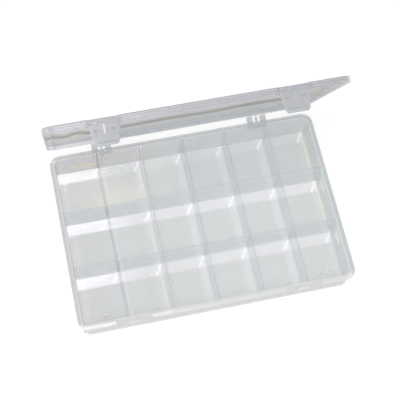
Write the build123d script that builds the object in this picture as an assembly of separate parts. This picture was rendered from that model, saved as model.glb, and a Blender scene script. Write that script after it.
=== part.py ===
from build123d import *
import os

# Component storage box: an 18-compartment clear tray with a hinged lid and two latch clips.
# Millimetres. +X runs along the hinges, +Y from the front to the hinges and +Z up.
# The origin is the centre of the tray's underside, and the lid stands open as in the rest pose.

# Compartments
columns = 6
rows = 3
cell_length = 32.4
cell_width = 43.4
divider_thickness = 1.5
divider_height = 24.9
divider_edge_radius = 0.5
groove_depth = 0.4
groove_clearance = 0.1

# Tray
tray_floor = 1.6
divider_drop = 0.7
tray_wall = 1.4
body_corner_radius = 5.3
foot_radius = 3.2
rim_overhang = 2.7
rim_thickness = 1.5
rim_lip_height = 4.0
rim_lip_thickness = 1.2
rim_outer_radius = 1.0
rim_inner_radius = 0.4

# Lid
rest_angle = 68.3
lid_panel = 1.4
lid_skirt_height = 4.3
lid_skirt_thickness = 1.4
lid_edge_radius = 0.9
lid_seat_gap = 0.15
lid_back_overhang = 2.0
rib_thickness = 1.0
rib_reach = 0.5
rib_clearance = 0.6
rib_back_setback = 8.5

# Hinges
hinge_station = 63.0
pin_radius = 0.8
pin_clearance = 0.05
pin_below_rim = 8.7
pin_end_inset = 0.3
pin_chamfer = 0.2
eye_radius = 2.0
side_arm_width = 4.5
middle_arm_width = 1.4
arm_gap = 2.4
arm_rim_clearance = 0.3
knuckle_side_clearance = 0.15

# Latch clips
latch_station = 64.3
clip_width = 21.0
clip_tip_width = 17.0
clip_length = 18.5
clip_thickness = 1.5
clip_stands_proud = 0.6
clip_straight = 6.0
clip_tip_chamfer = 1.5
clip_corner_radius = 0.7
barrel_radius = 2.0
barrel_heel = 1.6
barrel_under_lid = 0.1
barrel_gap = 0.2
trunnion_radius = 0.8
trunnion_length = 1.4
trunnion_clearance = 0.05
pocket_wall = 1.2
ear_width = 1.6
hook_depth = 1.3
hook_height = 2.35
hook_above_tip = 1.15
hook_width = 13.0
finger_lip_reach = 1.2
finger_lip_height = 2.2
finger_lip_width = 13.6
window_width = 3.4
window_height = 0.9
window_offset = 6.0
window_down = 8.0

# Catches on the tray
catch_width = 10.0
catch_height = 3.0
catch_reach = 1.4
catch_slope = 1.8
catch_gap = 0.2
recess_margin = 2.8

# Worked out from the sizes above
cavity_length = columns * cell_length + (columns - 1) * divider_thickness
cavity_width = rows * cell_width + (rows - 1) * divider_thickness
body_length = cavity_length + 2 * tray_wall
body_width = cavity_width + 2 * tray_wall
rim_length = body_length + 2 * rim_overhang
rim_width = body_width + 2 * rim_overhang
rim_corner_radius = body_corner_radius + rim_overhang
column_pitch = cell_length + divider_thickness
row_pitch = cell_width + divider_thickness
tray_height = tray_floor + divider_height + divider_drop
front_edge = -rim_width / 2
back_edge = rim_width / 2

lid_low = tray_height + lid_seat_gap
lid_top = lid_low + lid_skirt_height
lid_depth = rim_width + lid_back_overhang
pin_y = back_edge
pin_z = tray_height - pin_below_rim
lid_axis = Axis((0, pin_y, pin_z), (-1, 0, 0))
hinge_width = 2 * side_arm_width + middle_arm_width + 2 * arm_gap

barrel_y = front_edge - clip_stands_proud + barrel_radius
barrel_z = lid_top - barrel_under_lid - barrel_radius
clip_outer_y = front_edge - clip_stands_proud
clip_inner_y = clip_outer_y + clip_thickness
clip_tip_z = lid_top - clip_length
hook_low_z = clip_tip_z + hook_above_tip
hook_top_z = hook_low_z + hook_height
catch_low_z = hook_top_z + catch_gap
pocket_half = clip_width / 2 + barrel_gap
pocket_back_y = barrel_y + barrel_radius + barrel_gap

# How far a piece that joins another is let into it, so that the two fuse, and how far a cut runs past a face
root = 0.4
past = 1.0


def block(x_low, x_high, y_low, y_high, z_low, z_high):
    """A box between two corners."""
    place = Pos((x_low + x_high) / 2, (y_low + y_high) / 2, (z_low + z_high) / 2)
    return place * Box(x_high - x_low, y_high - y_low, z_high - z_low)


def slab(length, width, radius, z_low, z_high, y_centre=0):
    """An upright solid with a rounded rectangle as its plan."""
    plan = Pos(0, y_centre, z_low) * RectangleRounded(length, width, radius)
    return extrude(plan, z_high - z_low)


def rod(x_centre, y, z, radius, length):
    """A round bar along X."""
    return Pos(x_centre, y, z) * Rot(0, 90, 0) * Cylinder(radius, length)


def ridge(points, x_centre, width):
    """A profile of (y, z) points, drawn out along X."""
    profile = Plane.YZ * Polygon(*points, align=None)
    return Pos(x_centre, 0, 0) * extrude(profile, width / 2, both=True)


def column_places():
    """The X of each line between two columns."""
    first = -column_pitch * (columns - 2) / 2
    return [first + column_pitch * i for i in range(columns - 1)]


def row_line_places():
    """The Y of each line between two rows."""
    first = -row_pitch * (rows - 2) / 2
    return [first + row_pitch * i for i in range(rows - 1)]


def row_centres():
    """The Y of the middle of each row."""
    first = -row_pitch * (rows - 1) / 2
    return [first + row_pitch * i for i in range(rows)]


def in_cavity(point):
    """Whether a point is over the cavity or its edge, and not over the rim outside it."""
    return abs(point.X) < body_length / 2 and abs(point.Y) < body_width / 2


def tray_shell():
    """The floor, the walls and the rim with its downturned lip."""
    body = slab(body_length, body_width, body_corner_radius, 0, tray_height)
    rim = slab(rim_length, rim_width, rim_corner_radius, tray_height - rim_lip_height, tray_height)
    lip_inner_radius = rim_corner_radius - rim_lip_thickness
    channel = slab(rim_length - 2 * rim_lip_thickness, rim_width - 2 * rim_lip_thickness, lip_inner_radius,
                   tray_height - rim_lip_height - past, tray_height - rim_thickness)
    cavity = slab(cavity_length, cavity_width, body_corner_radius - tray_wall, tray_floor, tray_height + past)
    shell = body + (rim - channel)
    shell = fillet(shell.edges().group_by(Axis.Z)[-1], rim_outer_radius)
    shell = fillet(shell.edges().group_by(Axis.Z)[0], foot_radius)
    shell -= cavity
    mouth = [edge for edge in shell.edges().group_by(Axis.Z)[-1] if in_cavity(edge.center())]
    return fillet(mouth, rim_inner_radius)


def divider_grooves():
    """The shallow grooves in the walls that hold the dividers' ends."""
    half = divider_thickness / 2 + groove_clearance
    end_x = cavity_length / 2 + groove_depth
    end_y = cavity_width / 2 + groove_depth
    top = tray_height + past
    long_grooves = [block(-end_x, end_x, y - half, y + half, tray_floor, top) for y in row_line_places()]
    cross_grooves = [block(x - half, x + half, -end_y, end_y, tray_floor, top) for x in column_places()]
    return long_grooves + cross_grooves


def latch_recess(x_centre):
    """The gap in the rim that lets a latch clip down beside the wall."""
    half = clip_width / 2 + recess_margin
    return block(x_centre - half, x_centre + half, front_edge - past, -body_width / 2,
                 tray_height - rim_lip_height - past, tray_height + past)


def catch(x_centre):
    """The lug under the rim that a latch clip's hook holds."""
    wall_y = -body_width / 2
    tip_y = wall_y - catch_reach
    high_z = catch_low_z + catch_height
    points = [(wall_y + root, catch_low_z), (tip_y, catch_low_z), (tip_y, high_z - catch_slope),
              (wall_y, high_z), (wall_y + root, high_z)]
    return ridge(points, x_centre, catch_width)


def knuckles(x_centre):
    """The tray's two hinge knuckles, each on a web from the wall and the rim, between the lid's arms."""
    wall_y = body_width / 2
    web_top = tray_height - rim_thickness + root
    lip_y = back_edge - rim_lip_thickness
    lip_z = tray_height - rim_lip_height
    low_z = pin_z - eye_radius
    points = [(wall_y - root, low_z), (pin_y, low_z), (pin_y, pin_z + eye_radius), (lip_y, lip_z),
              (lip_y, web_top), (wall_y - root, web_top)]
    width = arm_gap - 2 * knuckle_side_clearance
    offset = (middle_arm_width + arm_gap) / 2
    pieces = []
    for x in (x_centre - offset, x_centre + offset):
        pieces.append(ridge(points, x, width) + rod(x, pin_y, pin_z, eye_radius, width))
    return pieces


def pin_bore(x_centre):
    """The hole for a hinge pin through all the knuckles and arms of one hinge."""
    return rod(x_centre, pin_y, pin_z, pin_radius + pin_clearance, hinge_width + 2 * past)


def make_tray():
    tray = tray_shell()
    for groove in divider_grooves():
        tray -= groove
    for x in (-latch_station, latch_station):
        tray -= latch_recess(x)
        tray += catch(x)
    for x in (-hinge_station, hinge_station):
        for piece in knuckles(x):
            tray += piece
        tray -= pin_bore(x)
    return tray


def make_row_divider(y):
    """A long divider, grooved on both faces for the short ones."""
    reach = groove_depth - groove_clearance
    length = cavity_length + 2 * reach
    plate = Pos(0, y, tray_floor + divider_height / 2) * Box(length, divider_thickness, divider_height)
    plate = fillet(plate.edges().filter_by(Axis.X).group_by(Axis.Z)[-1], divider_edge_radius)
    half = divider_thickness / 2
    slot_half = divider_thickness / 2 + groove_clearance
    for x in column_places():
        for face, outside in ((y - half, y - half - past), (y + half, y + half + past)):
            inside = face + groove_depth if outside < face else face - groove_depth
            low, high = sorted((inside, outside))
            plate -= block(x - slot_half, x + slot_half, low, high, 0, tray_height)
    return plate


def make_cross_divider(x, y):
    """A short divider, let into the grooves at its two ends."""
    reach = groove_depth - groove_clearance
    length = cell_width + 2 * reach
    plate = Pos(x, y, tray_floor + divider_height / 2) * Box(divider_thickness, length, divider_height)
    return fillet(plate.edges().filter_by(Axis.Y).group_by(Axis.Z)[-1], divider_edge_radius)


def lid_shell():
    """The lid's panel, its skirt and its locating rib, closed on the tray."""
    y_centre = lid_back_overhang / 2
    shell = slab(rim_length, lid_depth, rim_corner_radius, lid_low, lid_top, y_centre)
    shell = fillet(shell.edges().group_by(Axis.Z)[-1], lid_edge_radius)
    hollow = slab(rim_length - 2 * lid_skirt_thickness, lid_depth - 2 * lid_skirt_thickness,
                  rim_corner_radius - lid_skirt_thickness, lid_low - past, lid_top - lid_panel, y_centre)
    shell -= hollow
    rib_length = cavity_length - 2 * rib_clearance
    rib_front = -cavity_width / 2 + rib_clearance
    rib_back = cavity_width / 2 - rib_back_setback
    rib_width = rib_back - rib_front
    rib_y = (rib_back + rib_front) / 2
    rib_radius = body_corner_radius - tray_wall - rib_clearance
    rib_low = tray_height - rib_reach
    ring = slab(rib_length, rib_width, rib_radius, rib_low, lid_top - lid_panel + root, rib_y)
    ring -= slab(rib_length - 2 * rib_thickness, rib_width - 2 * rib_thickness, rib_radius - rib_thickness,
                 rib_low - past, lid_top, rib_y)
    return shell + ring


def latch_pocket(x_centre):
    """The walls round a latch clip's barrel, and the notch that they go round."""
    outer_half = pocket_half + ear_width
    back = pocket_back_y + pocket_wall
    walls = block(x_centre - outer_half, x_centre + outer_half, front_edge + root, back, lid_low,
                  lid_top - lid_panel + root)
    notch = block(x_centre - pocket_half, x_centre + pocket_half, front_edge - past, pocket_back_y,
                  lid_low - past, lid_top + past)
    return walls, notch


def lid_arms(x_centre):
    """One hinge's three arms, each ending in an eye round the pin."""
    inner_y = back_edge + arm_rim_clearance
    outer_y = back_edge + lid_back_overhang
    step = side_arm_width / 2 + arm_gap + middle_arm_width / 2
    pieces = []
    for offset, width in ((-step, side_arm_width), (0, middle_arm_width), (step, side_arm_width)):
        x = x_centre + offset
        arm = block(x - width / 2, x + width / 2, inner_y, outer_y, pin_z, lid_low + root)
        pieces.append(arm + rod(x, pin_y, pin_z, eye_radius, width))
    return pieces


def make_lid():
    lid = lid_shell()
    for x in (-latch_station, latch_station):
        walls, notch = latch_pocket(x)
        lid = lid + walls - notch
        lid -= rod(x, barrel_y, barrel_z, trunnion_radius + trunnion_clearance,
                   2 * (pocket_half + trunnion_length - barrel_gap + trunnion_clearance))
    for x in (-hinge_station, hinge_station):
        for piece in lid_arms(x):
            lid += piece
        lid -= pin_bore(x)
    return lid


def clip_plate():
    """The clip's tapered plate, centred on X = 0, with its moulding windows."""
    half = clip_width / 2
    tip_half = clip_tip_width / 2
    top = barrel_z
    shoulder = lid_top - clip_straight
    points = [(-half, top), (half, top), (half, shoulder), (tip_half, clip_tip_z + clip_tip_chamfer),
              (tip_half - clip_tip_chamfer, clip_tip_z), (clip_tip_chamfer - tip_half, clip_tip_z),
              (-tip_half, clip_tip_z + clip_tip_chamfer), (-half, shoulder)]
    outline = Plane.XZ * Polygon(*points, align=None)
    plate = Pos(0, (clip_outer_y + clip_inner_y) / 2, 0) * extrude(outline, clip_thickness / 2, both=True)
    plate = fillet(plate.edges().filter_by(Axis.Y).group_by(Axis.Z)[0], clip_corner_radius)
    window_z = lid_top - window_down
    for x in (-window_offset, window_offset):
        plate -= block(x - window_width / 2, x + window_width / 2, clip_outer_y - past, clip_inner_y + past,
                       window_z - window_height / 2, window_z + window_height / 2)
    return plate


def make_latch(x_centre):
    """A latch clip: a barrel with a heel and two trunnions, the plate, the hook and the finger lip."""
    clip = clip_plate() + rod(0, barrel_y, barrel_z, barrel_radius, clip_width)
    clip += block(-clip_width / 2, clip_width / 2, barrel_y, barrel_y + barrel_radius,
                  barrel_z - barrel_heel, barrel_z)
    clip += rod(0, barrel_y, barrel_z, trunnion_radius, clip_width + 2 * trunnion_length)
    hook_y = clip_inner_y + hook_depth
    hook = [(clip_inner_y - root, hook_low_z), (clip_inner_y, hook_low_z),
            (hook_y, hook_low_z + hook_depth), (hook_y, hook_top_z), (clip_inner_y - root, hook_top_z)]
    clip += ridge(hook, 0, hook_width)
    lip_y = clip_outer_y - finger_lip_reach
    lip_top = clip_tip_z + finger_lip_height
    lip = [(clip_outer_y + root, clip_tip_z), (lip_y, clip_tip_z), (lip_y, lip_top - finger_lip_reach),
           (clip_outer_y, lip_top), (clip_outer_y + root, lip_top)]
    clip += ridge(lip, 0, finger_lip_width)
    return Pos(x_centre, 0, 0) * clip


def make_hinge_pin(x_centre):
    pin = rod(x_centre, pin_y, pin_z, pin_radius, hinge_width - 2 * pin_end_inset)
    return chamfer(pin.edges().filter_by(GeomType.CIRCLE), pin_chamfer)


def opened(shape):
    """Turns a piece of the closed lid about the hinge pins to the rest pose."""
    return shape.rotate(lid_axis, rest_angle)


def all_pieces():
    pieces = {"tray": make_tray(), "lid": opened(make_lid())}
    for side, sign in (("left", -1), ("right", 1)):
        pieces["latch_" + side] = opened(make_latch(sign * latch_station))
        pieces["hinge_pin_" + side] = opened(make_hinge_pin(sign * hinge_station))
    for number, y in enumerate(row_line_places()):
        name = ("row_divider_front", "row_divider_back")[number]
        pieces[name] = make_row_divider(y)
    for row, y in zip(("front", "middle", "back"), row_centres()):
        for number, x in enumerate(column_places(), start=1):
            pieces[f"cross_divider_{row}_{number}"] = make_cross_divider(x, y)
    return pieces


os.makedirs("parts", exist_ok=True)
for node, solid in all_pieces().items():
    export_step(solid, f"parts/{node}.step")
    print(node, round(solid.volume))
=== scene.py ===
import math

import bpy
from mathutils import Matrix, Vector


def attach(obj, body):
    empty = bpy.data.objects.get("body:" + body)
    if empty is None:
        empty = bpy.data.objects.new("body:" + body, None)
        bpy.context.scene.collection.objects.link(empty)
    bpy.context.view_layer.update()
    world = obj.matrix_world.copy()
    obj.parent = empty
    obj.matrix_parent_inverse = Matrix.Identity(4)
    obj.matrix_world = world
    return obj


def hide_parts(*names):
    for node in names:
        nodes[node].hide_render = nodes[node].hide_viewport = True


print("loading the packed box")
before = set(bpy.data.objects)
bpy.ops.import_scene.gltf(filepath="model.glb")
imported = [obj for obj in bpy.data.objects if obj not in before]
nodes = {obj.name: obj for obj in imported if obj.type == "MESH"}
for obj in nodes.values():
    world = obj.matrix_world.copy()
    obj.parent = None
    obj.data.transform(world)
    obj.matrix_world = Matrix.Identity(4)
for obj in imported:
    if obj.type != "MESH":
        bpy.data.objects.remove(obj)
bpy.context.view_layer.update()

# The camera looks down on the open box from the front left.
cameraView = {
    "place": (-0.095968, -0.280129, 0.748397),
    "right": (0.97576141, -0.21385222, 0.04644243),
    "up": (0.17918563, 0.90259274, 0.39143181),
    "back": (-0.12562717, -0.37362223, 0.91903441),
    "lens": 92.283,
    "sensor": 36.0,
    "near": 0.01,
    "far": 20.0,
}


def setCamera(view):
    bpy.ops.object.select_all(action="DESELECT")
    bpy.ops.object.camera_add()
    camera = bpy.context.object
    camera.name = "photoCamera"
    turn = Matrix((view["right"], view["up"], view["back"])).transposed().to_4x4()
    camera.matrix_world = Matrix.Translation(view["place"]) @ turn
    camera.data.sensor_width = view["sensor"]
    camera.data.sensor_fit = "HORIZONTAL"
    camera.data.lens = view["lens"]
    camera.data.clip_start = view["near"]
    camera.data.clip_end = view["far"]
    bpy.context.scene.camera = camera


setCamera(cameraView)
print("camera set")

# The lid stands open by this turn about its hinge pins.
lidTurn = {"angle": math.radians(68.3), "pinY": 0.0707, "pinZ": 0.0185}


def newMaterial(name):
    material = bpy.data.materials.new(name)
    material.use_nodes = True
    material.node_tree.nodes.clear()
    return material, material.node_tree


def link(tree, source, target):
    tree.links.new(source, target)


# A math node with its inputs given as sockets or numbers.
def calc(tree, operation, *values, clamp=False):
    node = tree.nodes.new("ShaderNodeMath")
    node.operation = operation
    node.use_clamp = clamp
    for entry, value in zip(node.inputs, values):
        if isinstance(value, bpy.types.NodeSocket):
            link(tree, value, entry)
        else:
            entry.default_value = value
    return node.outputs[0]


def times(tree, first, *others):
    for other in others:
        first = calc(tree, "MULTIPLY", first, other)
    return first


# A value eased from one level to another as the first value crosses a span.
def ease(tree, value, start, end, low=0.0, high=1.0):
    node = tree.nodes.new("ShaderNodeMapRange")
    node.interpolation_type = "SMOOTHSTEP"
    link(tree, value, node.inputs["Value"])
    for name, number in (("From Min", start), ("From Max", end), ("To Min", low), ("To Max", high)):
        node.inputs[name].default_value = number
    return node.outputs["Result"]


# One inside a span and nothing outside it, with soft ends.
def band(tree, value, start, end, soft):
    return times(tree, ease(tree, value, start, start + soft), ease(tree, value, end, end - soft))


# One inside a box. Along each axis it is given as from, to and how softly, or as None where it has no end.
def boxMask(tree, place, spans):
    return times(tree, *(band(tree, along, *span) for along, span in zip(place, spans) if span))


# How far a place is from a centre, where the reach along each axis counts as one.
def farFrom(tree, x, y, centre, reach):
    offX, offY = (times(tree, calc(tree, "SUBTRACT", along, middle), 1 / size)
                  for along, middle, size in zip((x, y), centre, reach))
    return calc(tree, "SQRT", calc(tree, "ADD", times(tree, offX, offX), times(tree, offY, offY)))


def mixColour(tree, factor, first, second):
    node = tree.nodes.new("ShaderNodeMix")
    node.data_type = "RGBA"
    link(tree, factor, node.inputs["Factor"])
    for name, value in (("A", first), ("B", second)):
        entry = [socket for socket in node.inputs if socket.name == name and socket.type == "RGBA"][0]
        if isinstance(value, bpy.types.NodeSocket):
            link(tree, value, entry)
        else:
            entry.default_value = tuple(value) + (1,)
    return [socket for socket in node.outputs if socket.type == "RGBA"][0]


# Nothing where a face is seen squarely and one where it is seen edge on.
def edgeOn(tree):
    side = tree.nodes.new("ShaderNodeLayerWeight")
    side.inputs["Blend"].default_value = 0.5
    return side.outputs["Facing"]


# Laid over a finish in turn: each entry is a mask, the colour it brings and how much haze it adds.
def layOver(tree, colour, haze, layers):
    for mask, tone, extra in layers:
        if tone:
            colour = mixColour(tree, mask, colour, tone)
        if extra:
            haze = calc(tree, "ADD", haze, calc(tree, "MULTIPLY", mask, extra), clamp=True)
    return colour, haze


# The object's own axes, or those of the lid as it lies closed.
def objectAxes(tree, closedLid=False):
    place = tree.nodes.new("ShaderNodeTexCoord")
    source = place.outputs["Object"]
    if closedLid:
        turn = Matrix.Rotation(lidTurn["angle"], 3, "X")
        pin = Vector((0, lidTurn["pinY"], lidTurn["pinZ"]))
        lay = tree.nodes.new("ShaderNodeMapping")
        lay.inputs["Rotation"].default_value = (lidTurn["angle"], 0, 0)
        lay.inputs["Location"].default_value = pin - turn @ pin
        link(tree, source, lay.inputs["Vector"])
        source = lay.outputs["Vector"]
    parts = tree.nodes.new("ShaderNodeSeparateXYZ")
    link(tree, source, parts.inputs[0])
    return parts.outputs["X"], parts.outputs["Y"], parts.outputs["Z"]


# In the looks below, two numbers are where a mask starts and where it is full, but x and y for a place or
# a reach, and the least and greatest for haze and gloss. With four, the last two are the mask's least and
# greatest value. Three are a colour, or where a band starts and ends and how softly.

# Cloudiness, fine scratches and flow streaks, shared by every plastic finish.
grainLook = {
    "Cloud": {"scale": 22.0, "stretch": (1, 1, 1), "turn": 0, "detail": 3, "span": (0.3, 0.7)},
    "Scratches": {"scale": 260.0, "stretch": (1, 9, 1), "turn": 0.35, "detail": 6, "span": (0.60, 0.90)},
    "Streaks": {"scale": 60.0, "stretch": (0.12, 1, 1), "turn": 0, "detail": 3, "span": (0.35, 0.65)},
}


def makeMouldedPlastic(table):
    group = bpy.data.node_groups.new("mouldedPlastic", "ShaderNodeTree")
    for name, look in table.items():
        entry = group.interface.new_socket(name + " Scale", in_out="INPUT", socket_type="NodeSocketFloat")
        entry.default_value = look["scale"]
        group.interface.new_socket(name, in_out="OUTPUT", socket_type="NodeSocketFloat")
    given = group.nodes.new("NodeGroupInput")
    out = group.nodes.new("NodeGroupOutput")
    place = group.nodes.new("ShaderNodeTexCoord")
    for name, look in table.items():
        lay = group.nodes.new("ShaderNodeMapping")
        lay.inputs["Rotation"].default_value = (0, 0, look["turn"])
        lay.inputs["Scale"].default_value = look["stretch"]
        link(group, place.outputs["Object"], lay.inputs["Vector"])
        pattern = group.nodes.new("ShaderNodeTexNoise")
        pattern.inputs["Detail"].default_value = look["detail"]
        link(group, lay.outputs["Vector"], pattern.inputs["Vector"])
        link(group, given.outputs[name + " Scale"], pattern.inputs["Scale"])
        link(group, ease(group, pattern.outputs["Fac"], *look["span"]), out.inputs[name])
    return group


mouldedPlastic = makeMouldedPlastic(grainLook)


def addGrain(tree, **scales):
    grain = tree.nodes.new("ShaderNodeGroup")
    grain.node_tree = mouldedPlastic
    for name, scale in scales.items():
        grain.inputs[name + " Scale"].default_value = scale
    return grain.outputs


# What the clear finishes share: how their haze and mirror coat grow towards an edge, and their scratches.
coatLook = {"ior": 1.57, "hazePower": 4.0, "streaky": (0.998, 1.002), "scratch": 0.012, "scratchDeep": 0.0002,
            "mirrorPower": 5.0, "mirrorGrowth": 0.95, "mirrorLeast": 0.05}

# Each one's colour where it is thin and thick, its haze squarely and edge on, and its roughness.
clearPlastic = {
    "trayClear": {"thin": (0.643, 0.669, 0.672), "thick": (0.649, 0.672, 0.673),
                  "haze": (0.34, 0.50), "gloss": (0.08, 0.14), "mirror": 0.7},
    "lidClear": {"thin": (0.712, 0.717, 0.737), "thick": (0.720, 0.723, 0.743),
                 "haze": (0.30, 0.90), "gloss": (0.17, 0.20), "mirror": 0.3},
    "dividerClear": {"thin": (0.775, 0.829, 0.894), "thick": (0.779, 0.832, 0.896),
                     "haze": (0.115, 0.12), "gloss": (0.08, 0.14), "mirror": 0.15},
    "ringClear": {"thin": (0.88, 0.89, 0.90), "thick": (0.94, 0.94, 0.94),
                  "haze": (0.04, 0.06), "gloss": (0.05, 0.20), "mirror": 0.6},
    "pinClear": {"thin": (0.74, 0.75, 0.77), "thick": (0.80, 0.81, 0.83),
                 "haze": (0.03, 0.06), "gloss": (0.05, 0.20), "mirror": 0.5},
}


# A see-through moulded finish: haze over what is behind it, and a mirror coat that grows towards its edges.
# What a piece has of its own, such as a line or a tint, is laid over the shared colour and haze.
def makeClearPlastic(name, look, ownDetail=None):
    coat = coatLook
    material, tree = newMaterial(name)
    out = tree.nodes.new("ShaderNodeOutputMaterial")
    body = tree.nodes.new("ShaderNodeBsdfPrincipled")
    body.inputs["IOR"].default_value = coat["ior"]
    body.inputs["Specular IOR Level"].default_value = 0  # its gloss is the mirror coat below
    grain = addGrain(tree)
    colour = mixColour(tree, grain["Cloud"], look["thin"], look["thick"])
    edge = edgeOn(tree)
    steep = calc(tree, "POWER", edge, coat["hazePower"])
    haze = times(tree, ease(tree, steep, 0, 1, *look["haze"]),
                 ease(tree, grain["Streaks"], 0, 1, *coat["streaky"]))
    if ownDetail:
        colour, haze = ownDetail(tree, colour, haze, grain)
    link(tree, colour, body.inputs["Base Color"])
    link(tree, haze, body.inputs["Alpha"])
    rough = ease(tree, grain["Scratches"], 0, 1, *look["gloss"])
    link(tree, rough, body.inputs["Roughness"])
    bump = tree.nodes.new("ShaderNodeBump")
    bump.inputs["Strength"].default_value = coat["scratch"]
    bump.inputs["Distance"].default_value = coat["scratchDeep"]
    link(tree, grain["Scratches"], bump.inputs["Height"])
    link(tree, bump.outputs["Normal"], body.inputs["Normal"])
    shine = tree.nodes.new("ShaderNodeBsdfGlossy")
    link(tree, rough, shine.inputs["Roughness"])
    link(tree, bump.outputs["Normal"], shine.inputs["Normal"])
    # only the outside of a wall mirrors, so light isn't trapped in it
    faces = tree.nodes.new("ShaderNodeNewGeometry")
    outside = calc(tree, "SUBTRACT", 1.0, faces.outputs["Backfacing"])
    mirror = calc(tree, "MULTIPLY_ADD", calc(tree, "POWER", edge, coat["mirrorPower"]), coat["mirrorGrowth"],
                  coat["mirrorLeast"])
    mix = tree.nodes.new("ShaderNodeMixShader")
    link(tree, times(tree, mirror, outside, look["mirror"]), mix.inputs[0])
    link(tree, body.outputs[0], mix.inputs[1])
    link(tree, shine.outputs[0], mix.inputs[2])
    link(tree, mix.outputs[0], out.inputs["Surface"])
    return material


# The cells repeat at these pitches from the inner faces of the back and right walls.
cellLook = {"rowPitch": 0.0449, "columnPitch": 0.0339, "backWall": 0.0674, "rightWall": 0.1011}


# How far a place is past the last wall, counting from the back or the right.
def pastWall(tree, along, wall, pitch):
    return calc(tree, "WRAP", calc(tree, "SUBTRACT", wall, along), pitch, 0.0)


# How far a place is from the middle of the nearest column divider.
def fromColumn(tree, x):
    half = cellLook["columnPitch"] / 2
    wrapped = calc(tree, "WRAP", calc(tree, "ADD", x, half), cellLook["columnPitch"], 0.0)
    return calc(tree, "ABSOLUTE", calc(tree, "SUBTRACT", wrapped, half))


# The tray's walls and rim are bluer and thicker to look through than its floor, and each side has its own
# painted light and shade. It has a painted shade line round the foot of the walls, painted creamy glows in
# the back left cells and beside the right wall, painted highlights at two of its edges and painted glints.
trayLook = {
    # walls and rim, each side with its own painted light and shade
    "insideX": 0.1008, "insideY": 0.0665, "soft": 0.0006, "wallHaze": 0.10,
    "leftWall": (0.47, 0.47, 0.50), "rightWall": (0.74, 0.785, 0.80), "wallTurn": (-0.09, 0.03),
    "frontWall": (0.86, 0.86, 0.865), "frontY": (-0.0655, -0.0670),
    "rimZ": (0.0250, 0.0262), "backRim": (0.68, 0.70, 0.725), "backRimY": (0.0650, 0.0668),
    "rightRim": (0.50, 0.56, 0.58), "rightRimX": (0.1012, 0.1020),
    "rimLine": (0.74, 0.74, 0.77), "rimLineX": (-0.1027, -0.1014, 0.0003),
    # painted warm gleams on the right wall, a painted shade line round the foot, painted highlights at the
    # dividers' slots, and the hinge knuckles
    "warmGleam": (1.0, 0.96, 0.91), "warmHaze": 0.22, "warmCell": (0.005, 0.019, 0.004),
    "warmX": (0.1005, 0.1016, 0.0002), "warmZ": (0.010, 0.0245, 0.005), "warmY": (0.022, 0.020),
    "footShade": (0.50, 0.48, 0.52), "footHaze": 0.16, "footIn": -0.0016, "footOut": 0.0006,
    "footSoft": 0.0005, "footZ": (0.0014, 0.0026, 0.0004), "footFade": (-0.08, 0.05, 0.3, 1.0),
    "slotHaze": 0.50, "slotWidth": (0.0006, 0.0017, 0.0003), "slotFade": (0.012, 0.004),
    "slotY": (0.0655, 0.0675, 0.0003), "slotZ": (0.003, 0.006),
    "knuckle": (0.80, 0.81, 0.83), "knuckleHaze": -0.30, "knuckleY": (0.0711, 0.0716),
    "knuckleZ": (0.0255, 0.0245),
    # the floors of the back and middle cells, with painted shade and painted creamy glows
    "backCellsY": (0.0325, 0.0335), "midCellsY": (-0.012, 0.0225, 0.001),
    "backRightShade": (0.62, 0.65, 0.66), "dimHaze": 0.04, "dimX": (-0.020, 0.005),
    "creamGlow": (0.82, 0.82, 0.70), "creamPlace": (-0.066, 0.036), "creamReach": 0.045, "creamShare": 0.9,
    "rightCreamGlow": (0.74, 0.74, 0.685), "rightCreamX": (0.0975, 0.1030, 0.002), "rightCreamZ": (0.009, 0.005),
    # painted highlights and glints, each in a box
    "highlight": (1.0, 0.95, 0.96), "glint": (1.0, 0.90, 0.79), "highlightHaze": 0.60,
    "frontHighlight": ((-0.106, -0.034, 0.004), (-0.0705, -0.0680, 0.0006), (0.0228, 0.0276, 0.0004)),
    "rimHighlight": ((-0.100, -0.066, 0.006), (0.0680, 0.0705, 0.0008), (0.0262, 0.0400, 0.0006)),
    "backGlint": ((-0.090, -0.066, 0.003), (0.0655, 0.0675, 0.0002), (0.0050, 0.0150, 0.0030)),
    "glintTone": (1.0, 0.90, 0.80), "glintHaze": 0.5,
    "longGlint": ((-0.0862, -0.0812, 0.0007), (-0.0556, -0.0540, 0.0005), (-0.010, 0.004, 0.001)),
    "smallGlint": ((-0.0906, -0.0890, 0.0007), (-0.0480, -0.0458, 0.0005), (-0.010, 0.004, 0.001)),
}


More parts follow.
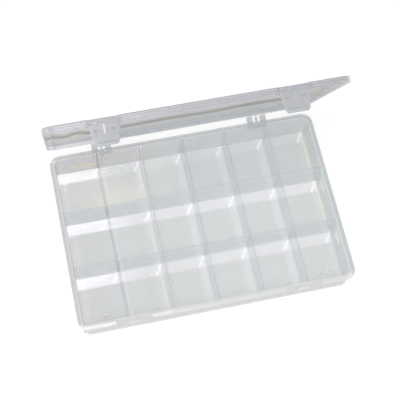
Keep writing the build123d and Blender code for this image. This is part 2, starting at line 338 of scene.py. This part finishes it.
def trayWalls(tree, look, place, wall):
    x, y, z = place
    rimTop = ease(tree, z, *look["rimZ"])
    # painted shade and light: each side of the walls and rim has its own tone, darkest on the left, with a
    # paler line along the left rim
    tone = mixColour(tree, ease(tree, x, *look["wallTurn"]), look["leftWall"], look["rightWall"])
    tone = mixColour(tree, ease(tree, y, *look["frontY"]), tone, look["frontWall"])
    tone = mixColour(tree, times(tree, rimTop, ease(tree, y, *look["backRimY"])), tone, look["backRim"])
    rightRim = times(tree, rimTop, ease(tree, x, *look["rightRimX"]))
    rimLine = times(tree, rimTop, band(tree, x, *look["rimLineX"]))
    beside = pastWall(tree, y, cellLook["backWall"], cellLook["rowPitch"])
    # painted warm gleams on the right wall beside the row dividers
    warmGleam = times(tree, band(tree, beside, *look["warmCell"]), band(tree, z, *look["warmZ"]),
                 band(tree, x, *look["warmX"]), ease(tree, y, *look["warmY"]))
    # a painted shade line round the foot of the walls, stronger towards the right
    atWall = [band(tree, calc(tree, "ABSOLUTE", along), inside + look["footIn"], inside + look["footOut"],
                   look["footSoft"]) for along, inside in ((x, look["insideX"]), (y, look["insideY"]))]
    foot = times(tree, calc(tree, "MAXIMUM", *atWall), band(tree, z, *look["footZ"]),
                 ease(tree, x, *look["footFade"]))
    # painted highlights where the column dividers meet the back wall
    slotGlints = times(tree, band(tree, fromColumn(tree, x), *look["slotWidth"]), ease(tree, x, *look["slotFade"]),
                  band(tree, y, *look["slotY"]), ease(tree, z, *look["slotZ"]))
    knuckles = times(tree, ease(tree, y, *look["knuckleY"]), ease(tree, z, *look["knuckleZ"]))
    return [(wall, tone, look["wallHaze"]), (rightRim, look["rightRim"], 0), (rimLine, look["rimLine"], 0),
            (warmGleam, look["warmGleam"], look["warmHaze"]), (foot, look["footShade"], look["footHaze"]),
            (slotGlints, look["highlight"], look["slotHaze"]), (knuckles, look["knuckle"], look["knuckleHaze"])]


def trayFloor(tree, look, place, floor, cloud):
    x, y, z = place
    backCells = ease(tree, y, *look["backCellsY"])
    # painted creamy glows on the floor of the back left cells and low beside the right wall
    far = farFrom(tree, x, y, look["creamPlace"], (look["creamReach"], look["creamReach"]))
    creamGlow = times(tree, ease(tree, far, 1.0, 0.0), floor, cloud, backCells, look["creamShare"])
    rightCells = calc(tree, "MAXIMUM", backCells, band(tree, y, *look["midCellsY"]))
    rightCreamGlow = times(tree, band(tree, x, *look["rightCreamX"]), ease(tree, z, *look["rightCreamZ"]),
                       rightCells)
    # painted shade on the floor of the back right cells
    backRightShade = times(tree, ease(tree, x, *look["dimX"]), backCells, floor)
    return [(backRightShade, look["backRightShade"], look["dimHaze"]), (creamGlow, look["creamGlow"], 0),
            (rightCreamGlow, look["rightCreamGlow"], 0)]


def trayDetail(tree, colour, haze, grain):
    look = trayLook
    place = objectAxes(tree)
    walls = [ease(tree, calc(tree, "ABSOLUTE", along), inside, inside + look["soft"])
             for along, inside in zip(place, (look["insideX"], look["insideY"]))]
    wall = calc(tree, "MAXIMUM", *walls)
    floor = calc(tree, "SUBTRACT", 1.0, wall)
    # painted glints on the floor of the front left cell, then painted highlights along the front rim, the
    # back rim and the back wall
    floorGlints = [(times(tree, boxMask(tree, place, look[name]), floor), tone, look["glintHaze"])
              for name, tone in (("longGlint", look["glintTone"]), ("smallGlint", look["highlight"]))]
    streaks = [(times(tree, boxMask(tree, place, look[name]), grain["Streaks"]), look["highlight"],
                look["highlightHaze"]) for name in ("frontHighlight", "rimHighlight")]
    streaks.append((boxMask(tree, place, look["backGlint"]), look["glint"], look["highlightHaze"]))
    wallLayers = trayWalls(tree, look, place, wall)
    floorLayers = trayFloor(tree, look, place, floor, grain["Cloud"])
    return layOver(tree, colour, haze, floorGlints + wallLayers + floorLayers + streaks)


# A divider clears towards its foot, and shows a thin dark line along its top edge. The front row divider is
# clearer near its left end. Of the column dividers the first is darker with painted shade and the second
# paler with painted light.
dividerLook = {
    "footZ": (0.0136, 0.0016), "footHaze": -0.05, "topZ": (0.0258, 0.0262), "belowTopZ": (0.0262, 0.0258),
    "rowTop": (0.50, 0.53, 0.58), "rowTopHaze": 0.05,
    "clearHaze": -0.095, "clearBox": ((-0.095, -0.071, 0.008), (-0.060, 0.0, 0.01), (0.001, 0.025, 0.008)),
    "columnTop": (0.44, 0.46, 0.50), "columnTopHaze": 0.14, "columnTopWidth": (0.0008, 0.0006),
    "columnTopBack": (0.064, 0.054, 0.35, 1.0), "columnTopLeft": (-0.060, -0.040, 0.3, 1.0),
    "first": (0.50, 0.51, 0.56), "firstHaze": 0.08, "firstX": (-0.060, -0.062),
    "second": (1.0, 1.0, 1.0), "secondHaze": 0.14, "secondX": (-0.040, -0.030, 0.001),
}


def dividerDetail(tree, colour, haze, z, line, tone, extra):
    look = dividerLook
    foot = ease(tree, z, *look["footZ"])
    top = times(tree, ease(tree, z, *look["topZ"]), line)
    return layOver(tree, colour, haze, [(foot, None, look["footHaze"]), (top, tone, extra)])


def rowDetail(tree, colour, haze, grain):
    look = dividerLook
    place = objectAxes(tree)
    clear = boxMask(tree, place, look["clearBox"])
    colour, haze = layOver(tree, colour, haze, [(clear, None, look["clearHaze"])])
    return dividerDetail(tree, colour, haze, place[2], 1.0, look["rowTop"], look["rowTopHaze"])


def columnDetail(tree, colour, haze, grain):
    look = dividerLook
    x, y, z = objectAxes(tree)
    line = times(tree, ease(tree, fromColumn(tree, x), *look["columnTopWidth"]),
                 ease(tree, y, *look["columnTopBack"]), ease(tree, x, *look["columnTopLeft"]))
    belowTop = ease(tree, z, *look["belowTopZ"])
    # painted shade on the first column divider and painted light on the second
    first = times(tree, ease(tree, x, *look["firstX"]), belowTop)
    second = times(tree, band(tree, x, *look["secondX"]), belowTop)
    colour, haze = layOver(tree, colour, haze, [(first, look["first"], look["firstHaze"]),
                                                (second, look["second"], look["secondHaze"])])
    return dividerDetail(tree, colour, haze, z, line, look["columnTop"], look["columnTopHaze"])


# The lid's panel has a wavy olive line of painted reflection across it, which shows where the plastic is
# looked along, a bluer rib at the back and a greener right end, with painted highlights at its left end and
# on the left of the rib. Its skirt is darker, with a pale line and a darker top edge.
lidLook = {
    "panel": (0.79, 0.80, 0.81), "panelY": (-0.066, 0.058, 0.002), "panelZ": (0.0295, 0.0301),
    "glance": (0.55, 0.80), "leftX": (-0.058, -0.070),
    "line": (0.34, 0.335, 0.295), "lineY": 0.004, "lineWidth": (0.017, 0.005), "lineEnd": (0.082, 0.070),
    "ripple": 330.0, "rippleHigh": 0.006, "sway": 95.0, "swayHigh": 0.0024,
    "left": (0.84, 0.80, 0.77), "leftShare": 0.7, "right": (0.66, 0.67, 0.61), "rightX": (0.074, 0.086),
    "rib": (0.58, 0.61, 0.66), "ribHaze": 0.2, "ribY": (0.056, 0.060, 0.0006), "ribZ": (0.0303, 0.0297),
    "leftRibHighlight": (0.92, 0.92, 0.98), "leftRibHaze": 0.1, "leftRibZ": (0.0295, 0.0285),
    "skirt": (0.505, 0.51, 0.555), "skirtY": (-0.0655, -0.0665),
    "paleLine": (0.60, 0.605, 0.65), "paleShare": 0.7, "paleZ": (0.0279, 0.0291, 0.0004),
    "edge": (0.39, 0.395, 0.44), "edgeHaze": 0.09, "edgeZ": (0.0300, 0.0306),
    "arm": (0.58, 0.60, 0.63), "armHaze": 0.12, "armY": (0.0600, 0.0605), "armZ": (0.0265, 0.0259),
    "barrelHaze": -0.25, "barrelZ": (0.0215, 0.0195),
}


# How near a place is to the painted reflection line, which ripples at the left and sways all along.
def reflectionLine(tree, look, x, y, left):
    ripple = calc(tree, "SINE", calc(tree, "MULTIPLY", x, look["ripple"]))
    sway = calc(tree, "SINE", calc(tree, "MULTIPLY", x, look["sway"]))
    shift = calc(tree, "ADD", times(tree, ripple, left, look["rippleHigh"]),
                 times(tree, sway, look["swayHigh"]))
    away = calc(tree, "ABSOLUTE", calc(tree, "SUBTRACT", calc(tree, "SUBTRACT", y, look["lineY"]), shift))
    return times(tree, ease(tree, away, *look["lineWidth"]), ease(tree, x, *look["lineEnd"]))


def lidDetail(tree, colour, haze, grain):
    look = lidLook
    x, y, z = objectAxes(tree, closedLid=True)
    panel = times(tree, band(tree, y, *look["panelY"]), ease(tree, z, *look["panelZ"]))
    left = ease(tree, x, *look["leftX"])
    lookedAlong = times(tree, panel, ease(tree, edgeOn(tree), *look["glance"]))
    # a painted dark reflection line across the panel, seen where it is looked along
    line = times(tree, reflectionLine(tree, look, x, y, left), lookedAlong)
    # painted highlights at the lid's left end and on the left of its rib
    leftEndHighlight = times(tree, left, grain["Streaks"], look["leftShare"], lookedAlong)
    rightEnd = times(tree, ease(tree, x, *look["rightX"]), lookedAlong)
    rib = times(tree, band(tree, y, *look["ribY"]), ease(tree, z, *look["ribZ"]))
    leftRibHighlight = times(tree, rib, left, ease(tree, z, *look["leftRibZ"]))
    skirt = ease(tree, y, *look["skirtY"])
    paleLine = times(tree, skirt, band(tree, z, *look["paleZ"]), look["paleShare"])
    edge = times(tree, skirt, ease(tree, z, *look["edgeZ"]))
    arms = times(tree, ease(tree, z, *look["armZ"]), ease(tree, y, *look["armY"]))
    barrels = times(tree, arms, ease(tree, z, *look["barrelZ"]))
    return layOver(tree, colour, haze, [
        (panel, look["panel"], 0), (skirt, look["skirt"], 0), (paleLine, look["paleLine"], 0),
        (edge, look["edge"], look["edgeHaze"]), (leftEndHighlight, look["left"], 0), (rightEnd, look["right"], 0),
        (line, look["line"], 0), (rib, look["rib"], look["ribHaze"]),
        (leftRibHighlight, look["leftRibHighlight"], look["leftRibHaze"]), (arms, look["arm"], look["armHaze"]),
        (barrels, None, look["barrelHaze"])])


# The clips are milkier than the box, and a little clearer where they are thin at the barrel. The left one
# has a painted glint, a bluish patch and a pale spot.
milkyLook = {
    "ior": 1.49, "specular": 0.15, "gloss": (0.28, 0.45), "cloudScale": 60.0,
    "thin": (0.50, 0.51, 0.54), "thick": (0.53, 0.54, 0.57), "haze": (0.68, 0.80),
    "barrel": (0.53, 0.54, 0.585), "barrelHaze": -0.40, "barrelZ": (0.0268, 0.0278), "markHaze": 0.1,
    "glint": (0.90, 0.80, 0.71), "glintBox": ((-0.0655, -0.0639, 0.0006), None, (0.0207, 0.0277, 0.0008)),
    "shade": (0.48, 0.52, 0.58), "shadeBox": ((-0.0588, -0.0553, 0.0006), None, (0.0202, 0.0240, 0.0008)),
    "spot": (0.95, 0.95, 0.97), "spotBox": ((-0.0725, -0.0690, 0.0006), None, (0.0283, 0.0297, 0.0008)),
}


def makeMilkyPlastic(name, look):
    material, tree = newMaterial(name)
    out = tree.nodes.new("ShaderNodeOutputMaterial")
    body = tree.nodes.new("ShaderNodeBsdfPrincipled")
    body.inputs["IOR"].default_value = look["ior"]
    body.inputs["Specular IOR Level"].default_value = look["specular"]
    grain = addGrain(tree, Cloud=look["cloudScale"])
    colour = mixColour(tree, grain["Cloud"], look["thin"], look["thick"])
    haze = ease(tree, grain["Cloud"], 0, 1, *look["haze"])
    place = objectAxes(tree, closedLid=True)
    layers = [(ease(tree, place[2], *look["barrelZ"]), look["barrel"], look["barrelHaze"])]
    # a painted glint on the left clip, with a bluish patch and a pale spot beside it
    for mark in ("glint", "shade", "spot"):
        layers.append((boxMask(tree, place, look[mark + "Box"]), look[mark], look["markHaze"]))
    colour, haze = layOver(tree, colour, haze, layers)
    link(tree, colour, body.inputs["Base Color"])
    link(tree, haze, body.inputs["Alpha"])
    link(tree, ease(tree, grain["Scratches"], 0, 1, *look["gloss"]), body.inputs["Roughness"])
    link(tree, body.outputs[0], out.inputs["Surface"])
    return material


latchMilky = makeMilkyPlastic("latchMilky", milkyLook)

# The finish of each kind of piece, by how the piece's name starts.
finishes = {
    "tray": makeClearPlastic("trayClear", clearPlastic["trayClear"], trayDetail),
    "lid": makeClearPlastic("lidClear", clearPlastic["lidClear"], lidDetail),
    "row_divider": makeClearPlastic("rowClear", clearPlastic["dividerClear"], rowDetail),
    "cross_divider": makeClearPlastic("columnClear", clearPlastic["dividerClear"], columnDetail),
    "hinge_pin": makeClearPlastic("pinClear", clearPlastic["pinClear"]),
    "latch": latchMilky,
}
for name, node in nodes.items():
    for start, finish in finishes.items():
        if name.startswith(start):
            for slot in node.material_slots:
                slot.material = finish
print("materials made")

# The clip as it hangs on the closed lid: z of its top, shoulder, marks and tip, and y of its outer face.
clipLook = {
    "station": 0.0643, "width": 0.0210, "tipWidth": 0.0166, "thick": 0.0015, "outerY": -0.0713,
    "top": 0.03145, "shoulder": 0.02565, "tip": 0.01315, "tipChamfer": 0.0015, "edge": 0.00022,
    "markX": 0.0060, "markHalf": 0.0015, "markZ": 0.02365, "markTall": 0.0008, "markDeep": 0.0004,
    "lipHalf": 0.0066, "lipTop": 0.01535, "lipReach": 0.0012, "lipSlope": 0.0005,
    "hookLow": 0.0143, "hookTop": 0.01665, "hookReach": 0.0013, "hookSlope": 0.0001,
    "barrelBack": -0.0673, "barrelLow": 0.02795, "barrelRound": 0.00195, "barrelSteps": 5,
    "trunnion": 0.0008, "trunnionReach": 0.0013, "trunnionIn": 0.002, "trunnionEdge": 0.0002,
    "trunnionSides": 32,
}
sameMetres = 2e-5  # two places nearer than this are the same
mergeMetres = 4e-6
squarely = 0.9  # a face looks along an axis when its normal has this much of it
bevelAngle = math.radians(40)
smoothAngle = math.radians(35)


def deselectAll():
    bpy.ops.object.mode_set(mode="OBJECT")
    bpy.ops.object.select_all(action="DESELECT")


# Names a new primitive, and puts its place and size into its mesh.
def takeNew(name):
    piece = bpy.context.object
    piece.name = name
    bpy.ops.object.transform_apply(location=True, rotation=True, scale=True)
    return piece


# Cuts the whole mesh through a plane at one place along an axis.
def cutAcross(axis, at):
    place, normal = [0, 0, 0], [0, 0, 0]
    place[axis], normal[axis] = at, 1
    bpy.ops.mesh.select_all(action="SELECT")
    bpy.ops.mesh.bisect(plane_co=place, plane_no=normal)


# Selects what passes a test of its place, or of its place and normal for faces.
def pick(piece, kind, test):
    bpy.ops.mesh.select_all(action="DESELECT")
    bpy.ops.mesh.select_mode(type=kind)
    bpy.ops.object.mode_set(mode="OBJECT")
    corners = piece.data.vertices
    if kind == "VERT":
        for corner in corners:
            corner.select = test(corner.co)
    elif kind == "FACE":
        for face in piece.data.polygons:
            face.select = test(face.center, face.normal)
    else:
        for edge in piece.data.edges:
            edge.select = test(corners[edge.vertices[0]].co, corners[edge.vertices[1]].co)
    bpy.ops.object.mode_set(mode="EDIT")


def near(value, target):
    return abs(value - target) < sameMetres


def extrude(x, y, z):
    bpy.ops.mesh.extrude_region_move(TRANSFORM_OT_translate={"value": (x, y, z)})


def applyModifier(piece, kind, **values):
    modifier = piece.modifiers.new(kind.lower(), kind)
    for name, value in values.items():
        setattr(modifier, name, value)
    bpy.context.view_layer.objects.active = piece
    bpy.ops.object.modifier_apply(modifier=modifier.name)


def softenEdges(piece, width):
    applyModifier(piece, "BEVEL", width=width, segments=2, limit_method="ANGLE", angle_limit=bevelAngle)


# Merges what lies together and points the faces outwards.
def cleanMesh(piece):
    bpy.ops.object.mode_set(mode="EDIT")
    bpy.ops.mesh.select_all(action="SELECT")
    bpy.ops.mesh.remove_doubles(threshold=mergeMetres)
    bpy.ops.mesh.dissolve_degenerate(threshold=mergeMetres)
    bpy.ops.mesh.select_all(action="SELECT")
    bpy.ops.mesh.normals_make_consistent(inside=False)
    bpy.ops.object.mode_set(mode="OBJECT")


def finishMesh(piece):
    cleanMesh(piece)
    bpy.ops.object.shade_smooth_by_angle(angle=smoothAngle)


# A plate that tapers from its shoulder to a chamfered tip, cut across where something will stand on it.
def makeClipPlate(look, inner):
    deselectAll()
    centre = look["station"]
    middle = (centre, (look["outerY"] + inner) / 2, (look["top"] + look["tip"]) / 2)
    bpy.ops.mesh.primitive_cube_add(size=1, location=middle,
                                    scale=(look["width"], look["thick"], look["top"] - look["tip"]))
    clip = takeNew("latchClipRight")
    bpy.ops.object.mode_set(mode="EDIT")
    chamferZ = look["tip"] + look["tipChamfer"]
    for height in (look["shoulder"], chamferZ):
        cutAcross(2, height)
    pick(clip, "VERT", lambda place: place.z < chamferZ + sameMetres)
    bpy.ops.transform.resize(value=(look["tipWidth"] / look["width"], 1, 1), center_override=middle)
    pick(clip, "VERT", lambda place: near(place.z, look["tip"]))
    tipShare = 1 - 2 * look["tipChamfer"] / look["tipWidth"]
    bpy.ops.transform.resize(value=(tipShare, 1, 1), center_override=middle)
    markLow, markHigh = look["markZ"] - look["markTall"] / 2, look["markZ"] + look["markTall"] / 2
    for height in (look["lipTop"], look["hookLow"], look["hookTop"], markLow, markHigh, look["barrelLow"]):
        cutAcross(2, height)
    markSides = [side * look["markX"] + end * look["markHalf"] for side in (-1, 1) for end in (-1, 1)]
    for offset in [-look["lipHalf"], look["lipHalf"]] + markSides:
        cutAcross(0, centre + offset)
    # two shallow moulding marks in the plate
    for side in (-1, 1):
        markX = centre + side * look["markX"]
        pick(clip, "FACE", lambda place, normal: normal.y < -squarely
             and abs(place.x - markX) < look["markHalf"] and markLow < place.z < markHigh)
        extrude(0, look["markDeep"], 0)
    return clip


def addClipLip(clip, look):
    centre, lipY = look["station"], look["outerY"] - look["lipReach"]
    pick(clip, "FACE", lambda place, normal: normal.y < -squarely
         and abs(place.x - centre) < look["lipHalf"] and place.z < look["lipTop"])
    extrude(0, -look["lipReach"], 0)
    pick(clip, "VERT", lambda place: near(place.y, lipY) and near(place.z, look["lipTop"]))
    bpy.ops.transform.translate(value=(0, 0, -look["lipSlope"]))


def addClipHook(clip, look, inner):
    centre, hookY = look["station"], inner + look["hookReach"]
    pick(clip, "FACE", lambda place, normal: normal.y > squarely
         and abs(place.x - centre) < look["lipHalf"] and look["hookLow"] < place.z < look["hookTop"])
    extrude(0, look["hookReach"], 0)
    pick(clip, "VERT", lambda place: near(place.y, hookY) and near(place.z, look["hookLow"]))
    bpy.ops.transform.translate(value=(0, 0, look["hookSlope"]))


# The barrel along the top, rounded over.
def addClipBarrel(clip, look, inner):
    pick(clip, "FACE", lambda place, normal: normal.y > squarely and place.z > look["barrelLow"])
    extrude(0, look["barrelBack"] - inner, 0)
    pick(clip, "EDGE", lambda one, other: near(one.z, look["top"]) and near(other.z, look["top"])
         and near(one.y, other.y) and (near(one.y, look["outerY"]) or near(one.y, look["barrelBack"])))
    bpy.ops.mesh.bevel(offset=look["barrelRound"], segments=look["barrelSteps"])


# The trunnions that snap into the lid.
def addTrunnions(clip, look):
    bpy.ops.object.select_all(action="DESELECT")
    place = (look["station"], look["outerY"] + look["trunnionIn"], look["top"] - look["trunnionIn"])
    bpy.ops.mesh.primitive_cylinder_add(vertices=look["trunnionSides"], radius=look["trunnion"],
                                        depth=look["width"] + 2 * look["trunnionReach"],
                                        location=place, rotation=(0, math.pi / 2, 0))
    rod = takeNew("trunnionRod")
    softenEdges(rod, look["trunnionEdge"])
    applyModifier(clip, "BOOLEAN", operation="UNION", object=rod, solver="EXACT")
    bpy.data.objects.remove(rod, do_unlink=True)


# Takes a piece made on the closed lid up with the open one.
def raiseWithLid(piece):
    piece.select_set(True)
    bpy.context.view_layer.objects.active = piece
    bpy.ops.object.mode_set(mode="EDIT")
    bpy.ops.mesh.select_all(action="SELECT")
    bpy.ops.transform.rotate(value=lidTurn["angle"], orient_axis="X",
                             center_override=(0, lidTurn["pinY"], lidTurn["pinZ"]))


def makeClip(look):
    inner = look["outerY"] + look["thick"]
    clip = makeClipPlate(look, inner)
    addClipLip(clip, look)
    addClipHook(clip, look, inner)
    addClipBarrel(clip, look, inner)
    bpy.ops.object.mode_set(mode="OBJECT")
    softenEdges(clip, look["edge"])
    cleanMesh(clip)
    addTrunnions(clip, look)
    raiseWithLid(clip)
    finishMesh(clip)
    return clip


def copyPiece(piece, name, shift):
    deselectAll()
    piece.select_set(True)
    bpy.context.view_layer.objects.active = piece
    bpy.ops.object.duplicate(linked=False)
    twin = bpy.context.object
    twin.name = name
    bpy.ops.object.mode_set(mode="EDIT")
    bpy.ops.mesh.select_all(action="SELECT")
    bpy.ops.transform.translate(value=shift)
    bpy.ops.object.mode_set(mode="OBJECT")
    return twin


clipRight = makeClip(clipLook)
clipLeft = copyPiece(clipRight, "latchClipLeft", (-2 * clipLook["station"], 0, 0))
for clip, side in ((clipLeft, "left"), (clipRight, "right")):
    clip.data.materials.append(latchMilky)
    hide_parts("latch_" + side)
    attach(clip, "latch_" + side)
print("latch clips made")

# A faint ring that an ejector pin of the mould left on the floor of the front right cell. Its front right
# side has a painted highlight.
ringLook = {
    "place": (0.0849, -0.0489), "radius": 0.0062, "width": 0.0007, "sides": 64,
    "floor": 0.0016, "sunk": 0.0001, "proud": 0.00012, "edge": 0.000096,
    "bright": (1.0, 0.99, 0.99), "brightHaze": 0.85, "litFrom": (0.0035, 0.0070),
}


def makeRing(look):
    deselectAll()
    x, y = look["place"]
    bpy.ops.mesh.primitive_circle_add(vertices=look["sides"], radius=look["radius"], fill_type="NOTHING",
                                      location=(x, y, look["floor"] - look["sunk"]))
    ring = takeNew("ejectorRing")
    bpy.ops.object.mode_set(mode="EDIT")
    bpy.ops.mesh.select_all(action="SELECT")
    bpy.ops.mesh.extrude_edges_move()
    grow = 1 + look["width"] / look["radius"]
    bpy.ops.transform.resize(value=(grow, grow, 1), center_override=(x, y, look["floor"]))
    bpy.ops.mesh.select_all(action="SELECT")
    extrude(0, 0, look["sunk"] + look["proud"])
    bpy.ops.object.mode_set(mode="OBJECT")
    finishMesh(ring)
    softenEdges(ring, look["edge"])
    return ring


def ringDetail(tree, colour, haze, grain):
    look = ringLook
    x, y = objectAxes(tree)[:2]
    right = calc(tree, "SUBTRACT", x, look["place"][0])
    down = calc(tree, "SUBTRACT", look["place"][1], y)
    # a painted highlight on the ring's front right side
    lit = ease(tree, calc(tree, "ADD", right, down), *look["litFrom"])
    return layOver(tree, colour, haze, [(lit, look["bright"], look["brightHaze"])])


ring = makeRing(ringLook)
ring.data.materials.append(makeClearPlastic("ringClear", clearPlastic["ringClear"], ringDetail))
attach(ring, "tray")
print("ejector ring made")

# The paper glows a little where it is seen, so that it is white with a faint shadow. Paler strips of painted
# light beside the box's clear walls stand in for the light that the walls turn down onto it.
stageLook = {
    "size": 8.0, "drop": 0.0004, "paper": 0.8, "seenPaper": 0.45, "glow": 0.62,
    "stripTone": (1.0, 0.985, 1.02), "stripToneSpan": (0.05, 0.30), "stripStart": (-0.0002, 0.0001),
    # the strips beside the row walls, stronger at the left and weaker at the back
    "rowStrip": 0.0096, "rowFade": 0.0017, "rowGlow": (-0.040, -0.085, 0.24, 0.74),
    "backY": (0.030, 0.055), "backShare": (-0.065, -0.070, 0.45, 0.80),
    "frontShare": (-0.040, -0.010, 0.85, 1.15),
    "streakScale": 90.0, "streakX": (-0.030, -0.070), "streaky": 0.4, "streakDrop": -0.24,
    # the strips beside the column walls, and where two strips cross
    "columnStrip": 0.0062, "columnFade": 0.0007, "columnGlow": 0.12, "columnStart": (-0.0350, -0.0345),
    "columnShare": (0.075, 0.085, 1.0, 0.35), "cornerGlow": 0.70, "glintSlope": 1.5, "glintHalf": 0.0015,
    # more strips along x: from, to, how softly and how strong
    "narrowStrips": ((-0.0371, -0.0355, 0.0004, 0.22), (-0.0669, -0.0630, 0.0012, 0.14),
                     (-0.0540, -0.0372, 0.0100, -0.07)),
    # a strip by the left wall, a thread in it, the front edge and an arc in the second cell at the back
    "besideSoft": 0.001, "besideX": (-0.0925, -0.0975), "besideGlow": 0.13, "threadGlow": 0.5,
    "threadBox": ((-0.0970, -0.0958, 0.0004), (0.050, 0.0615, 0.003)),
    "frontGlow": (-0.052, -0.062, 0.0, 0.10),
    "arcPlace": (-0.051, 0.054), "arcReach": (0.014, 0.022), "arcWidth": (0.16, 0.02),
    "arcY": (0.032, 0.058, 0.003), "arcGlow": 0.07,
}


def wallStrip(tree, gap, start, width, fade):
    return times(tree, ease(tree, gap, *start), ease(tree, gap, width, width - fade))


# The strips of two walls cross in a slanting glint.
def wallGlint(tree, gapX, gapY, look):
    away = calc(tree, "ABSOLUTE", calc(tree, "SUBTRACT", gapY, times(tree, gapX, look["glintSlope"])))
    return ease(tree, away, look["glintHalf"], 0.0)


# The back wall throws a pale arc into one cell.
def wallArc(tree, x, y, look):
    far = farFrom(tree, x, y, look["arcPlace"], look["arcReach"])
    away = calc(tree, "ABSOLUTE", calc(tree, "SUBTRACT", far, 1.0))
    return times(tree, ease(tree, away, *look["arcWidth"]), band(tree, y, *look["arcY"]), look["arcGlow"])


# How strong the strips beside the row walls are.
def rowLevel(tree, x, y, look):
    back = calc(tree, "SUBTRACT", ease(tree, x, *look["backShare"]), 1.0)
    back = calc(tree, "MULTIPLY_ADD", ease(tree, y, *look["backY"]), back, 1.0)
    streaks = addGrain(tree, Streaks=look["streakScale"])["Streaks"]
    uneven = calc(tree, "MULTIPLY_ADD", streaks, look["streaky"], look["streakDrop"])
    uneven = calc(tree, "MULTIPLY_ADD", ease(tree, x, *look["streakX"]), uneven, 1.0)
    return times(tree, ease(tree, x, *look["rowGlow"]), back, ease(tree, y, *look["frontShare"]), uneven)


def wallLight(tree, look, cells):
    x, y = objectAxes(tree)[:2]
    gapX = pastWall(tree, x, cells["rightWall"], cells["columnPitch"])
    gapY = pastWall(tree, y, cells["backWall"], cells["rowPitch"])
    rows = wallStrip(tree, gapY, look["stripStart"], look["rowStrip"], look["rowFade"])
    columns = wallStrip(tree, gapX, look["stripStart"], look["columnStrip"], look["columnFade"])
    lights = [
        times(tree, rows, rowLevel(tree, x, y, look)),
        times(tree, columns, ease(tree, x, *look["columnStart"]), ease(tree, x, *look["columnShare"]),
              look["columnGlow"]),
        times(tree, rows, columns, wallGlint(tree, gapX, gapY, look), look["cornerGlow"]),
        times(tree, ease(tree, x, -cells["rightWall"] - look["besideSoft"], -cells["rightWall"]),
              ease(tree, x, *look["besideX"]), look["besideGlow"]),
        times(tree, boxMask(tree, (x, y), look["threadBox"]), look["threadGlow"]),
        ease(tree, y, *look["frontGlow"]),
        wallArc(tree, x, y, look),
    ]
    for start, end, soft, strength in look["narrowStrips"]:
        lights.append(times(tree, band(tree, x, start, end, soft), strength))
    total = lights[0]
    for light in lights[1:]:
        total = calc(tree, "ADD", total, light)
    inX = calc(tree, "LESS_THAN", calc(tree, "ABSOLUTE", x), cells["rightWall"])
    inY = calc(tree, "LESS_THAN", calc(tree, "ABSOLUTE", y), cells["backWall"])
    return times(tree, total, inX, inY)


def makePaper(name, look, cells):
    material, tree = newMaterial(name)
    out = tree.nodes.new("ShaderNodeOutputMaterial")
    paper = tree.nodes.new("ShaderNodeBsdfDiffuse")
    paper.inputs["Color"].default_value = (look["paper"],) * 3 + (1,)
    seen = tree.nodes.new("ShaderNodeBsdfDiffuse")
    seen.inputs["Color"].default_value = (look["seenPaper"],) * 3 + (1,)
    glow = tree.nodes.new("ShaderNodeEmission")
    # painted light: the strips, glints and arc beside the box's walls
    strips = wallLight(tree, look, cells)
    tone = mixColour(tree, ease(tree, strips, *look["stripToneSpan"]), (1, 1, 1), look["stripTone"])
    link(tree, tone, glow.inputs["Color"])
    link(tree, calc(tree, "ADD", strips, look["glow"]), glow.inputs["Strength"])
    lit = tree.nodes.new("ShaderNodeAddShader")
    path = tree.nodes.new("ShaderNodeLightPath")
    straight = calc(tree, "ADD", path.outputs["Is Camera Ray"], path.outputs["Is Glossy Ray"], clamp=True)
    shown = calc(tree, "ADD", straight, path.outputs["Is Transmission Ray"], clamp=True)
    mix = tree.nodes.new("ShaderNodeMixShader")
    link(tree, seen.outputs[0], lit.inputs[0])
    link(tree, glow.outputs[0], lit.inputs[1])
    link(tree, shown, mix.inputs[0])
    link(tree, paper.outputs[0], mix.inputs[1])
    link(tree, lit.outputs[0], mix.inputs[2])
    link(tree, mix.outputs[0], out.inputs["Surface"])
    return material


def makeStage(look, cells):
    deselectAll()
    bpy.ops.mesh.primitive_plane_add(size=look["size"], location=(0, 0, -look["drop"]))
    floor = takeNew("paperFloor")
    floor.data.materials.append(makePaper("whitePaper", look, cells))


lamps = {
    "keySoftbox": {"place": (-0.14, -0.48, 1.28), "size": 0.45, "power": 8.1},
    "leftSoftbox": {"place": (-1.20, 0.10, 0.80), "size": 0.7, "power": 5.6},
}


def makeLamps(table):
    for name, look in table.items():
        bpy.ops.object.select_all(action="DESELECT")
        bpy.ops.object.light_add(type="AREA", location=look["place"])
        lamp = bpy.context.object
        lamp.name = name
        lamp.data.shape = "SQUARE"
        lamp.data.size = look["size"]
        lamp.data.energy = look["power"]
        lamp.rotation_euler = (-Vector(look["place"])).to_track_quat("-Z", "Y").to_euler()
        lamp.visible_transmission = False


# A studio whose pale walls turn into a greyer ceiling.
worldLook = {"wall": 0.98, "ceiling": 0.42, "wallEnd": 0.05, "ceilingStart": 0.7}


def makeWorld(look):
    world = bpy.data.worlds.new("studio")
    bpy.context.scene.world = world
    world.use_nodes = True
    tree = world.node_tree
    tree.nodes.clear()
    out = tree.nodes.new("ShaderNodeOutputWorld")
    background = tree.nodes.new("ShaderNodeBackground")
    background.inputs["Color"].default_value = (1, 1, 1, 1)
    place = tree.nodes.new("ShaderNodeTexCoord")
    parts = tree.nodes.new("ShaderNodeSeparateXYZ")
    link(tree, place.outputs["Generated"], parts.inputs[0])
    level = ease(tree, parts.outputs["Z"], look["wallEnd"], look["ceilingStart"], look["wall"],
                 look["ceiling"])
    link(tree, level, background.inputs["Strength"])
    link(tree, background.outputs[0], out.inputs["Surface"])


makeStage(stageLook, cellLook)
makeLamps(lamps)
makeWorld(worldLook)
bpy.context.scene.view_settings.view_transform = "Standard"
# a ray meets many thin walls before it reaches the paper
bpy.context.scene.cycles.transparent_max_bounces = 32
print("stage and light set")
